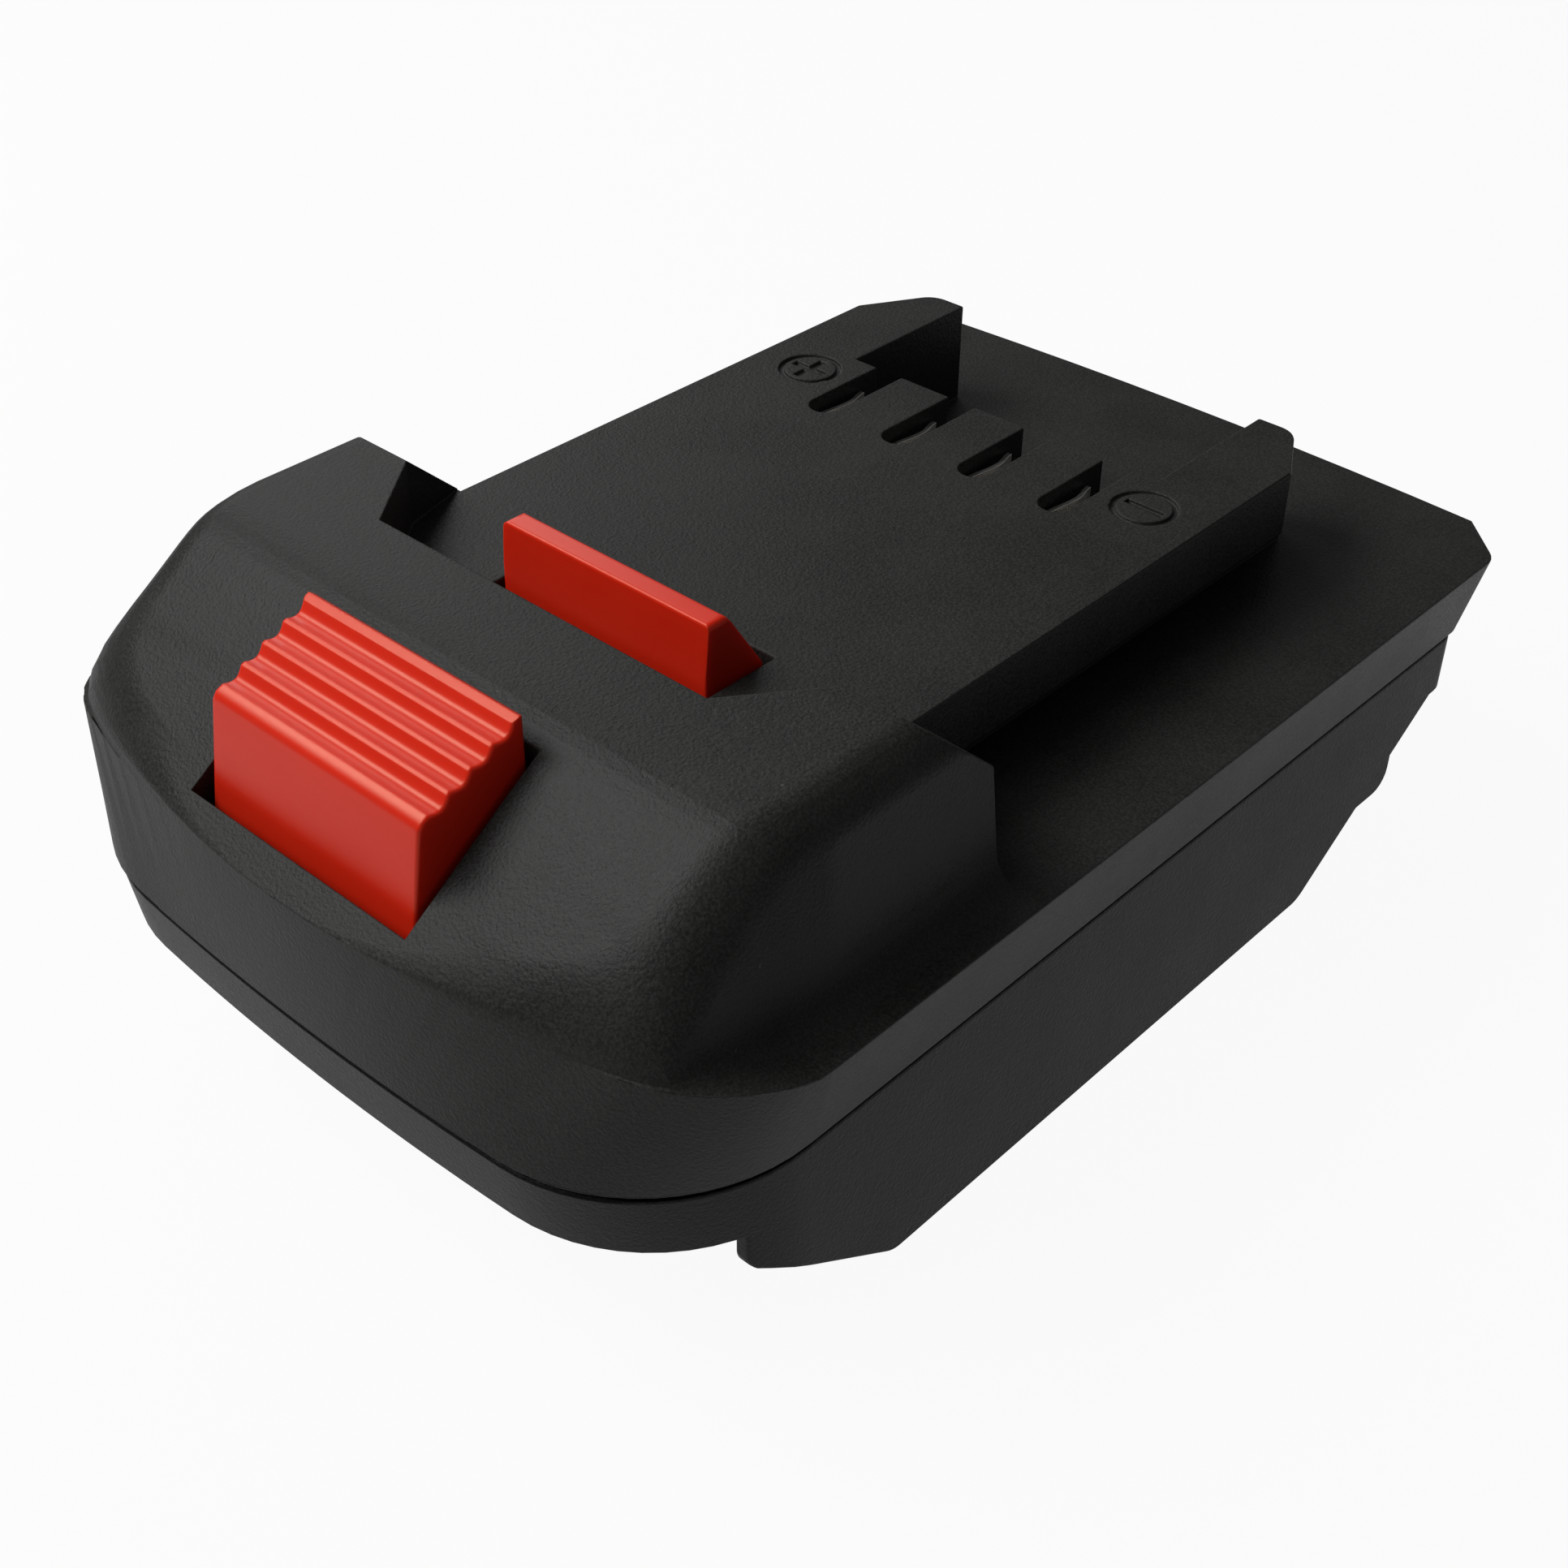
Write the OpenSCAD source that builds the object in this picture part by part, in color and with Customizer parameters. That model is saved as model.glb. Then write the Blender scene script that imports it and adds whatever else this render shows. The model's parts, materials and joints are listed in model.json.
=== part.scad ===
// Tool battery adapter: the upper housing slides into a cordless tool and carries its contacts
// and the sprung release latch, and the channel under the lower housing takes a pack of another make.
// +X is to the right, +Y towards the contact end and +Z up, with the skirts' feet on Z = 0.

/* [Envelope] */
// Length over the nose and the bowed rear edge
body_l = 113.2; // [109:0.1:118]
// Width over the flange
body_w = 76.6; // [75:0.2:82]
// Height of the flange's top face above the skirts' feet
flange_z = 29.1; // [28.5:0.1:32]
// Height of the parting line above the skirts' feet
parting_z = 20; // [19.5:0.25:21]
// How far the side walls draw in from the flange to the parting line
wall_taper = 2.3; // [1:0.1:3]
// Wall of both housings
wall = 2.2; // [1.8:0.1:2.5]

/* [Outline] */
// Radius of the bowed front edge at the flange
nose_bow_r = 96; // [85:1:140]
// Radius of the front corners at the flange
nose_corner_r = 11.7; // [10:0.1:14]
// Radius of the bowed front edge at the parting line
low_bow_r = 300; // [200:10:500]
// Radius of the front corners at the parting line
low_corner_r = 16; // [11:0.5:18]
// Rise of the bowed rear edge
rear_bow = 1.2; // [0.4:0.1:2]
// Chamfer of the rear corners at the flange
rear_chamfer = 5.7; // [4:0.1:7]
// Chamfer of the rear corners at the parting line
low_chamfer = 3; // [2.5:0.1:5]
// Radius between the rear chamfers and the sides
rear_round = 2.5; // [1:0.5:4]
// How far the front wall draws in from its upper edge to the parting line
front_taper = 0.5; // [0.2:0.1:1]
// How far the rear wall draws in from the flange to the parting line
rear_taper = 1.2; // [0.5:0.1:4]
// Step of the lower housing inside the upper one at the parting line
parting_step = 0.3; // [0.1:0.05:0.5]
// Open seam at the parting line
seam = 0.5; // [0.2:0.05:0.7]
// How far the lower housing's front wall leans back to its lower edge
front_lean = 0.9; // [0.2:0.1:1.5]

/* [Hump] */
// Height of the hump above the flange
hump_h = 15.8; // [14.5:0.1:17]
// Width of the hump at its foot
hump_w = 67.6; // [64:0.2:69]
// Length from the front edge to the hump's rear top edge
hump_l = 33.5; // [32:0.1:36]
// Length of the ramp behind the hump's rear top edge
ramp_l = 6.3; // [5:0.1:7]
// Length from the front edge to the start of the nose's fall
nose_l = 17.6; // [16.5:0.1:18.5]
// Fall of the nose per unit of length
nose_slope = 0.7; // [0.64:0.01:0.71]
// Softness of the bend between the hump's top and its nose
nose_blend = 2; // [1:0.25:4]
// Lean of the hump's flanks per unit of height
flank_lean = 0.12; // [0.05:0.01:0.2]
// Fillet along the hump's top edges
hump_fillet = 3.5; // [1.5:0.25:4]
// Fillet along the nose's side edges
nose_fillet = 5; // [3.5:0.25:6]
// How far the hump's flanks draw in towards the nose
nose_draw = 0.8; // [0:0.1:1.5]
// Height of the raised front edge above the flange
nose_lip = 3.2; // [2.4:0.1:3.3]
// Length over which the raised front edge falls to the flange
lip_run = 16; // [12:0.5:17]
// Cove between the hump's flank and the flange
hump_cove = 3; // [1:0.2:4]
// Depth of the latch notch in front of the hump's rear top edge
notch_d = 7.5; // [6.5:0.1:8.5]
// Width of the latch notch at its front wall
notch_front_w = 35.8; // [32:0.2:38]
// Width of the latch notch at the hump's rear top edge
notch_rear_w = 47.4; // [44:0.2:49]

/* [Tool rails] */
// Height of the rail platform above the flange
platform_h = 9.9; // [9:0.1:10.5]
// Width of the rail platform over its lips
platform_w = 50; // [48:0.5:52]
// Depth of the rail grooves under the lips
groove_d = 3; // [2:0.25:3.5]
// Height of the rail grooves
groove_h = 3.8; // [3:0.1:3.9]
// Length from the rear edge to the ends of the side fins
fin_back = 14.7; // [12:0.1:16]
// Length of the side fins behind the contact fingers
fin_l = 16.2; // [14:0.1:18]
// Inner gap between the side fins
fin_gap = 34.4; // [32:0.2:36]
// Radius of the fins' rounded tips
fin_tip_r = 2.4; // [1.5:0.1:3]
// Slant of the fins' outer rear edges
fin_slant = 30; // [22:1:36]

/* [Tool contacts] */
// Distance between neighbouring contact slots
slot_pitch = 8.75; // [8:0.05:9.25]
// Width of a contact slot
slot_w = 3; // [2.8:0.1:3.4]
// Length of a contact slot
slot_l = 10.5; // [9.5:0.25:11.5]
// Thickness of the terminals' sheet metal
leaf_t = 0.45; // [0.35:0.05:0.5]
// Thickness of the contact board
board_t = 1.6; // [1.2:0.2:2]
// Depth of the terminals' upper edges below the platform
leaf_drop = 1.5; // [0.9:0.1:1.8]

/* [Release latch] */
// Width of the button
button_w = 23.1; // [20:0.1:24]
// Length from the front edge to the button's rear face
button_back = 14.8; // [14.4:0.1:15.4]
// Length of the button at its foot
button_l = 11.2; // [10.4:0.1:11.6]
// Height of the button's rear top edge above the flange
button_rear_h = 17.2; // [16:0.1:18.5]
// Height of the button's front top edge above the flange
button_front_h = 12.7; // [12:0.1:14]
// Lean of the button's front face
button_lean = 1.4; // [0.5:0.1:2]
// Finger grooves across the button
groove_count = 4; // [3:1:6]
// Depth of a finger groove
scallop = 0.55; // [0.3:0.05:0.8]
// How far the latch bar's ends lie inside the button's sides
bar_inset = 0.25; // [0:0.05:1]
// Length of the latch bar at the platform
bar_l = 6.35; // [5.6:0.05:7]
// Length of the latch bar's flat top
bar_top_l = 1.9; // [1.4:0.1:2.4]
// Height of the latch bar above the platform
bar_h = 5.5; // [4.5:0.1:6]
// Lean of the latch bar's front face
bar_lean = 0.45; // [0.2:0.05:0.8]
// Play of the latch in its openings
latch_play = 0.6; // [0.4:0.1:0.9]
// Gap in front of the button
front_gap = 1.1; // [0.6:0.1:1.3]
// Gap between the latch and its upper stop
stop_gap = 0.3; // [0.2:0.05:0.5]
// Thickness of the latch's bridge plate
bridge_t = 2.7; // [2:0.1:3]
// Outer diameter of a latch spring
spring_d = 6.4; // [5.8:0.1:7]
// Wire of a latch spring
spring_wire = 0.8; // [0.6:0.05:0.9]
// Distance of the springs' axes inside the button's sides
spring_inset = 4.05; // [3.8:0.05:5]
// Turns of a latch spring
spring_turns = 6; // [4:0.5:7]

/* [Pack channel] */
// Height of the lower edge of the front and rear lips
lip_z = 13.5; // [13:0.25:13.75]
// Height of the channel's roof
roof_z = 14; // [13.75:0.25:14.5]
// Thickness of the channel's roof
roof_t = 2.5; // [2.2:0.1:2.8]
// Thickness of a skirt
skirt_t = 2.3; // [2:0.1:2.8]
// Length from the front edge to the skirts
skirt_front = 12.4; // [11:0.1:14]
// Height of the skirts' front corners
skirt_corner_z = 10.3; // [9:0.1:11]
// Length of the skirts' front bevel
skirt_front_bevel = 15.4; // [12:0.1:18]
// Length from the rear edge to the skirts' rear ends
skirt_back = 5.2; // [4.6:0.1:7]
// Length of the skirts' rear bevel
skirt_rear_bevel = 22; // [18:0.5:25]
// Height of the skirts' rear bevel
skirt_rear_z = 15; // [14:0.25:15.5]
// Width of an inner pack rail
rail_w = 4.4; // [3.5:0.1:5]
// Height of the pack rails' lower face
rail_z = 2.8; // [2:0.1:3.2]
// Thickness of a pack rail
rail_t = 4.2; // [3.6:0.1:4.6]
// Length from the rear edge to the ends of the pack rails
rail_back = 9.1; // [8:0.1:10]
// Length of the stop webs at the rails' rear ends
stop_l = 3.5; // [3:0.25:4.5]
// Width of the recess that catches the pack's own latch
catch_w = 24; // [20:0.5:26]
// Length of that recess
catch_l = 8; // [6:0.25:8.5]
// Depth of that recess above the channel's roof face
catch_d = 4.4; // [4.2:0.1:4.6]

/* [Pack contacts] */
// Width of the pack terminal block
block_w = 37.6; // [36:0.2:40]
// Length of the pack terminal block
block_l = 12; // [11:0.25:13]
// Length of the pack blades in front of the block
blade_l = 12; // [10:0.25:13]
// Height of the pack blades
blade_h = 5.5; // [4.5:0.1:6]
// Height of the pack blades' lower edges
blade_z = 6; // [5.5:0.1:6.5]
// Thickness of the pack blades
blade_t = 0.8; // [0.6:0.05:1]
// Diameter of the power leads
power_lead_d = 2.6; // [2:0.1:2.8]
// Diameter of the signal lead
signal_lead_d = 1.6; // [1.2:0.1:2]
// Slack of the leads between their ends
lead_sag = 2.2; // [1:0.1:2.4]

/* [Fasteners] */
// Distance of the housing screws from the middle plane
screw_x = 27.4; // [26.8:0.1:28]
// Length from the front edge to the front screws
screw_front = 20.4; // [18:0.2:22]
// Length from the rear edge to the rear screws
screw_rear = 13.4; // [12.6:0.1:14.2]
// Shank of a housing screw
screw_d = 2.9; // [2.5:0.1:3]
// Head of a housing screw
screw_head_d = 5.6; // [5:0.1:5.8]
// Height of a housing screw's head
screw_head_h = 2.1; // [1.6:0.1:2.3]
// Length of a housing screw's shank
screw_l = 10; // [9:0.1:10.4]
// Shank of a small screw
small_screw_d = 2; // [1.6:0.1:2.2]
// Head of a small screw
small_head_d = 3.8; // [3.4:0.1:4]
// Height of a small screw's head
small_head_h = 1.2; // [1:0.1:1.3]
// Depth that the board screws reach into their bosses
board_bite = 5.5; // [4:0.25:6]
// Gap between fitted pieces
fit_gap = 0.1; // [0.05:0.05:0.2]

/* [Hidden] */
$fn = 48;

housing_black = "#242528";
latch_red = "#d8321f";
contact_metal = "#c9c6bb";
board_green = "#2f5d3a";
steel = "#9a9da1";
eps = 0.5;

half_w = body_w / 2;
low_half = half_w - wall_taper;
front_y = -body_l / 2;
rear_y = body_l / 2;
low_front_y = front_y + front_taper;
low_rear_y = rear_y - rear_taper;
inner_half = low_half - wall;

platform_z = flange_z + platform_h;
platform_half = platform_w / 2;
hump_z = flange_z + hump_h;
hump_rear_y = front_y + hump_l;
ramp_y = hump_rear_y + ramp_l;
nose_y = front_y + nose_l;
notch_y = hump_rear_y - notch_d;
fin_end_y = rear_y - fin_back;
finger_y = fin_end_y - fin_l;
slot_y = finger_y - slot_l;
slot_xs = [for (i = [0:3]) (i - 1.5) * slot_pitch];

ceiling_z = flange_z - wall;
web_half = platform_half - groove_d;
cavity_half = web_half - wall;
cavity_z = platform_z - wall - 0.2;
tongue_h = 1.2;
roof_top = roof_z + roof_t;

button_rear_y = front_y + button_back;
button_front_y = button_rear_y - button_l;
bridge_top = cavity_z - stop_gap;
bridge_z = bridge_top - bridge_t;
bar_front_y = hump_rear_y - 0.95;
bar_rear_y = bar_front_y + bar_l;
bar_w = button_w - 2 * bar_inset;
travel = bar_h;
latch_foot_z = parting_z + travel + 2.5;
latch_wall = 2;

spring_x = button_w / 2 - spring_inset;
spring_y = button_rear_y + 7.5;
post_d = spring_d - 2 * spring_wire - 0.6;
spring_low = roof_top + 0.1;
spring_high = bridge_z - 0.1;

board_top = ceiling_z - 0.3;
board_z = board_top - board_t;
board_half = cavity_half - 0.6;
board_front_y = slot_y - 6;
board_rear_y = finger_y - wall - 0.5;
board_screw_x = slot_pitch;
board_screw_y = slot_y - 3.5;
fork_y = slot_y + 0.6;
fork_top = platform_z - leaf_drop;
tab_w = 2.2;
tab_t = 0.8;
tab_y = fork_y + 1.2;
lead_z = board_z - 2.5;
tab_z = lead_z - power_lead_d / 2 - 0.2;

block_y = finger_y + 5.5;
block_z = blade_z - 1;
flange_t = 1.8;
tail_l = 3;
tail_y = block_y + 4;
tail_top = lead_z + power_lead_d / 2 + 0.3;
ear_x = block_w / 2 + 4;
ear_r = 3.2;
ear_y = block_y + 3.4;
blade_xs = [slot_xs[0], slot_xs[1], slot_xs[3]];

screw_places = [for (s = [-1, 1], y = [front_y + screw_front, rear_y - screw_rear]) [s * screw_x, y]];
screw_seat_z = roof_z + screw_head_h + 0.3;
screw_tip_z = screw_seat_z + screw_l;
boss_d = screw_d + 4;
small_seat_d = small_head_h + 0.1;

// Points along an arc, both ends included
function arc(c, r, a0, a1, n) = [for (i = [0:n]) let (a = a0 + (a1 - a0) * i / n) c + r * [cos(a), sin(a)]];

function unit(v) = v / norm(v);

// Points that round the corner b between a and c with radius r
function corner(a, b, c, r, n = 5) =
    r <= 0 ? [b] :
    let (u = unit(a - b), w = unit(c - b), h = acos(u * w) / 2)
    let (m = b + unit(u + w) * r / sin(h), p = b + u * r / tan(h) - m)
    let (turn = (cross(b - a, c - b) > 0 ? 1 : -1) * (180 - 2 * h))
    arc(m, r, atan2(p.y, p.x), atan2(p.y, p.x) + turn, n);

// A polygon whose vertices [x, y, r] are rounded with their own radius
function rounded(pts) =
    let (n = len(pts), flat = [for (p = pts) [p.x, p.y]])
    [for (i = [0:n - 1]) each corner(flat[(i + n - 1) % n], flat[i], flat[(i + 1) % n], pts[i].z)];

// Plan outline of the housing: bowed front, round front corners, chamfered and bowed rear
function outline(half, y_front, y_rear, bow_r, corner_r, chamfer) =
    let (cy = y_front + bow_r, kx = half - corner_r)
    let (ky = cy - sqrt(pow(bow_r - corner_r, 2) - kx * kx), a = atan2(ky - cy, kx))
    let (rear_half = half - chamfer, rear_r = (rear_half * rear_half + rear_bow * rear_bow) / (2 * rear_bow))
    let (ra = asin(rear_half / rear_r), side_y = y_rear - rear_bow - chamfer)
    concat(
        arc([kx, ky], corner_r, a, 0, 14),
        corner([half, ky], [half, side_y], [rear_half, y_rear - rear_bow], rear_round, 4),
        arc([0, y_rear - rear_r], rear_r, 90 - ra, 90 + ra, 10),
        corner([-rear_half, y_rear - rear_bow], [-half, side_y], [-half, ky], rear_round, 4),
        arc([-kx, ky], corner_r, 180, 180 - a, 14),
        [for (i = [1:15]) let (t = 180 - a + (180 + 2 * a) * i / 16) [bow_r * cos(t), cy + bow_r * sin(t)]]
    );

low_outline = outline(low_half, low_front_y, low_rear_y, low_bow_r, low_corner_r, low_chamfer);

// The lower housing's outline drawn in by a distance d, and its front by a further lean
function inset_outline(d, lean = 0) =
    outline(low_half - d, low_front_y + d + lean, low_rear_y - d,
            low_bow_r, low_corner_r - d, low_chamfer - d * 0.4);

// Height of the hump's top over the length, a flat top that bends into the falling nose
function nose_z(y) =
    let (d = nose_y - y) hump_z - nose_slope * (sqrt(d * d + nose_blend * nose_blend) + d) / 2;

// Centre of the front corner's arc, and where it runs into the bowed front
bow_y = front_y + nose_bow_r;
corner_x = half_w - nose_corner_r;
corner_y = bow_y - sqrt(pow(nose_bow_r - nose_corner_r, 2) - corner_x * corner_x);
tangent_y = bow_y + (corner_y - bow_y) * nose_bow_r / (nose_bow_r - nose_corner_r);

// Half width of the flange at y, along its side, its front corner and its bowed front
function flange_half(y) =
    y >= corner_y ? half_w :
    y > tangent_y ? corner_x + sqrt(pow(nose_corner_r, 2) - pow(y - corner_y, 2)) :
    sqrt(max(0, nose_bow_r * nose_bow_r - pow(y - bow_y, 2)));

// How far the flange's edge at y faces sideways, from 0 at the front's middle to 1 at the sides
function flange_turn(y) =
    y >= corner_y ? 1 :
    y > tangent_y ? (flange_half(y) - corner_x) / nose_corner_r : flange_half(y) / nose_bow_r;

// Height of the front edge above the flange, raised across the front and falling round the corners
function lip_h(y) = nose_lip * max(0, 1 - pow(max(0, y - front_y) / lip_run, 1.5));

// Share of the nose's form at y, from 0 at the hump to 1 down the nose
function nose_share(y) = let (u = max(0, min(1, (nose_y + 6 - y) / 12))) u * u * (3 - 2 * u);

// Right half of the hump's cross-section at y, from the foot up: ledge, cove, leaning flank and fillet.
// Round the front corners the foot follows the flange's edge, and the cove's middle meets that edge.
cove_sink = 0.04;
cove_share = 1 - cos(45);
least_foot = 4;

function hump_half(y) =
    let (top = nose_z(y), half = flange_half(y), edge_z = flange_z + lip_h(y))
    let (shelf = min(1, max(0, half - hump_w / 2) / hump_cove))
    let (rc = min(1 + (hump_cove - 1) * shelf, 0.8 * (top - edge_z)), cut = cove_share * rc * (1 - shelf))
    let (draw = nose_draw * nose_share(y) * pow(min(1, 2 * half / hump_w), 4))
    let (foot = min(hump_w / 2, max(least_foot, half - cut)) - draw, base = edge_z - cut - cove_sink)
    let (fillet = hump_fillet + (nose_fillet - hump_fillet) * nose_share(y))
    let (drop = max(0.1, min(fillet, top - base - rc - 0.1)), rise = top - drop)
    let (width = min((0.2 + drop) / max(0.12, flange_turn(y)), 0.7 * foot))
    let (shoulder = foot - (rise - base - rc) * flank_lean - width, a0 = 20)
    concat(
        [[half_w + 4, flange_z - 1.5], [half_w + 4, base - 0.3]],
        arc([foot + rc, base + rc], rc, 270, 180, 4),
        [for (i = [0:6])
            let (a = a0 + (90 - a0) * i / 6)
            [shoulder + width * cos(a) / cos(a0), rise + drop * (sin(a) - sin(a0)) / (1 - sin(a0))]]
    );

ramp_step = 0.1;
hump_stations = concat(
    [for (ahead = [-1, 0, 0.1, 0.4, 0.9, 1.6, 2.5, 3.5, 4.5, 5.6, 6.8, 8, 9.3, 10.7, 12.2, 13.8])
        front_y + ahead],
    [for (ahead = [-2, -1, 0, 1, 2.2, 4, 6]) nose_y + ahead],
    [ramp_y]
);

function hump_ring(y) =
    let (right = hump_half(y), n = len(right))
    concat([for (p = right) [p.x, y, p.y]], [for (i = [n - 1:-1:0]) [-right[i].x, y, right[i].y]]);

// Circle of points about c in the plane of u and v
function ring(c, u, v, r, sides) =
    [for (i = [0:sides - 1]) let (a = 360 * i / sides) c + r * (cos(a) * u + sin(a) * v)];

// Centre line of a latch spring about its own axis, from its lower to its upper seat
spring_r = (spring_d - spring_wire) / 2;
spring_steps = 8 * spring_turns;
spring_path = [for (i = [0:spring_steps])
    let (a = 45 * i, rise = spring_high - spring_low - spring_wire)
    [spring_r * cos(a), spring_r * sin(a), spring_low + spring_wire / 2 + rise * i / spring_steps]];
spring_gap = min([for (i = [0:spring_steps - 6], j = [i + 6:spring_steps])
    norm(spring_path[i] - spring_path[j])]) - spring_wire;
echo(least_gap_of_the_spring_to_itself = spring_gap);

// Profile of the button in Y and Z, with its finger grooves along the falling top
button_crest = [button_rear_y, flange_z + button_rear_h];
button_brow = [button_front_y + button_lean, flange_z + button_front_h];
button_fall = button_crest - button_brow;
crest_share = 0.07;
land_share = 0.09;

function grooved_top(n) =
    let (down = unit([button_fall.y, -button_fall.x]))
    [for (k = [0:n - 1], i = [0:6])
        let (t = crest_share + (1 - 2 * crest_share) * i / 6)
        let (along = land_share + (1 - 2 * land_share) * (k + t) / n)
        button_brow + button_fall * along + down * scallop * sin(180 * i / 6)];

// Triangles that close a ring of n points from its k-th point on, in strips between its two sides
function cap(n, k) =
    [for (i = [0:n / 2 - 2]) each [[k + i, k + i + 1, k + n - 2 - i], [k + i, k + n - 2 - i, k + n - 1 - i]]];

// Skin over rings of points that each hold as many points, an even number
module loft(rings) {
    n = len(rings[0]);
    last = len(rings) - 1;
    polyhedron(
        points = [for (r = rings) each r],
        faces = concat(
            [for (t = cap(n, 0)) [t[2], t[1], t[0]]],
            [for (k = [0:last - 1], i = [0:n - 1])
                [k * n + i, k * n + (i + 1) % n, (k + 1) * n + (i + 1) % n]],
            [for (k = [0:last - 1], i = [0:n - 1])
                [k * n + i, (k + 1) * n + (i + 1) % n, (k + 1) * n + i]],
            cap(n, last * n)
        )
    );
}

// Straight walls between two outlines of as many points, from the lower height to the upper
module ruled(low, low_z, high, high_z) {
    n = len(low);
    polyhedron(
        points = concat([for (p = low) [p.x, p.y, low_z]], [for (p = high) [p.x, p.y, high_z]]),
        faces = concat(
            [[for (i = [0:n - 1]) i], [for (i = [n - 1:-1:0]) n + i]],
            [for (i = [0:n - 1]) [i, n + i, n + (i + 1) % n]],
            [for (i = [0:n - 1]) [i, n + (i + 1) % n, (i + 1) % n]]
        )
    );
}

// Extrudes a profile in Y and Z over the width w, centred on the middle plane
module across(w) {
    translate([-w / 2, 0, 0])
        rotate([90, 0, 90])
            linear_extrude(w)
                children();
}

module block(x, y, z) {
    translate([x[0], y[0], z[0]])
        cube([x[1] - x[0], y[1] - y[0], z[1] - z[0]]);
}

// The band's taper goes on above the flange, as far as the raised front edge, and the hump stays inside it
module band() {
    rise = nose_lip + 1;
    spread = rise / (flange_z - parting_z);
    top_outline = outline(half_w + spread * wall_taper, front_y, rear_y + spread * rear_taper,
                          nose_bow_r, nose_corner_r + spread * wall_taper, rear_chamfer);
    ruled(low_outline, parting_z, top_outline, flange_z + rise);
    translate([0, 0, flange_z + rise - eps])
        linear_extrude(hump_h)
            polygon(top_outline);
}

module hump() {
    loft([for (y = hump_stations) hump_ring(y)]);
}

// What lies behind the hump's rear top edge, and the latch notch
module hump_cuts() {
    top = hump_z + eps;
    ramp_half = platform_half + 0.4;
    ramp_fall = (hump_h - platform_h - ramp_step) / ramp_l;
    across(body_w)
        polygon([[hump_rear_y, hump_z], [ramp_y + eps, platform_z + ramp_step - eps * ramp_fall],
                 [ramp_y + eps, top], [hump_rear_y, top]]);
    translate([0, 0, platform_z])
        linear_extrude(hump_h)
            polygon([[-notch_front_w / 2, notch_y], [notch_front_w / 2, notch_y],
                     [notch_rear_w / 2, hump_rear_y], [ramp_half, ramp_y], [ramp_half, ramp_y + 1],
                     [-ramp_half, ramp_y + 1], [-ramp_half, ramp_y], [-notch_rear_w / 2, hump_rear_y]]);
}

module shell_body() {
    difference() {
        intersection() {
            band();
            union() {
                block([-body_w, body_w], [-body_l, body_l], [parting_z - 1, flange_z]);
                hump();
            }
        }
        hump_cuts();
    }
}

module fin_plan() {
    c = [fin_gap / 2 + fin_tip_r, fin_end_y - fin_tip_r];
    tangent = c + fin_tip_r * [cos(fin_slant), sin(fin_slant)];
    slant_y = tangent.y - (platform_half - tangent.x) / tan(fin_slant);
    polygon(concat(
        [[fin_gap / 2, finger_y - eps], [platform_half, finger_y - eps], [platform_half, slant_y]],
        arc(c, fin_tip_r, fin_slant, 90, 6),
        [[fin_gap / 2, fin_end_y]]
    ));
}

module platform_plan() {
    translate([-platform_half, ramp_y - 8])
        square([platform_w, finger_y - ramp_y + 8]);
    for (m = [0, 1])
        mirror([m, 0])
            fin_plan();
}

module platform() {
    difference() {
        translate([0, 0, flange_z - eps])
            linear_extrude(platform_h + eps)
                platform_plan();
        for (s = [-1, 1])
            block(s > 0 ? [web_half, half_w] : [-half_w, -web_half],
                  [ramp_y, rear_y], [flange_z, flange_z + groove_h]);
    }
}

module contact_slot(x) {
    tip_r = slot_w / 2;
    hull() {
        translate([x, slot_y + tip_r, flange_z + 1])
            cylinder(h = platform_h, d = slot_w, $fn = 32);
        translate([x - tip_r, finger_y, flange_z + 1])
            cube([slot_w, eps, platform_h]);
    }
}

module upper_cavity() {
    translate([0, 0, parting_z - eps])
        linear_extrude(tongue_h + 0.2 + eps)
            polygon(inset_outline(wall));
    translate([0, 0, parting_z])
        linear_extrude(ceiling_z - parting_z)
            intersection() {
                polygon(inset_outline(wall));
                polygon(outline(half_w - wall, front_y + wall, rear_y - wall,
                                nose_bow_r, nose_corner_r - wall, rear_chamfer));
            }
    block([-cavity_half, cavity_half], [notch_y - wall - 1, finger_y - wall], [ceiling_z - eps, cavity_z]);
    hump_wall = 1.3 * wall;
    front = front_y + 2 * wall;
    stations = [for (i = [0:8]) front + (notch_y - wall - front) * i / 8];
    across(2 * cavity_half - 2 * wall)
        polygon(concat(
            [[notch_y - wall, ceiling_z - eps], [front, ceiling_z - eps]],
            [for (y = stations) [y, nose_z(y) - hump_wall]]
        ));
}

module upper_bosses() {
    for (p = screw_places)
        translate([p.x, p.y, parting_z])
            cylinder(h = ceiling_z - parting_z + eps, d = boss_d);
    for (s = [-1, 1])
        translate([s * board_screw_x, board_screw_y, board_top])
            cylinder(h = cavity_z - board_top + eps, d = small_screw_d + 3.2);
}

module upper_housing() {
    color(housing_black)
        difference() {
            union() {
                difference() {
                    union() {
                        shell_body();
                        platform();
                    }
                    upper_cavity();
                }
                upper_bosses();
            }
            for (x = slot_xs)
                contact_slot(x);
            block([-button_w / 2 - latch_play, button_w / 2 + latch_play],
                  [button_front_y - front_gap, button_rear_y + latch_play], [ceiling_z - eps, hump_z + eps]);
            block([-bar_w / 2 - latch_play, bar_w / 2 + latch_play],
                  [bar_front_y - latch_play, bar_rear_y + latch_play], [cavity_z - eps, platform_z + eps]);
            for (p = screw_places)
                translate([p.x, p.y, parting_z - eps])
                    cylinder(h = screw_tip_z + 0.6 - parting_z + eps, d = screw_d + 2 * fit_gap);
            for (s = [-1, 1])
                translate([s * board_screw_x, board_screw_y, board_top - eps])
                    cylinder(h = board_bite + 1 + eps, d = small_screw_d + 2 * fit_gap);
        }
}

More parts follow.
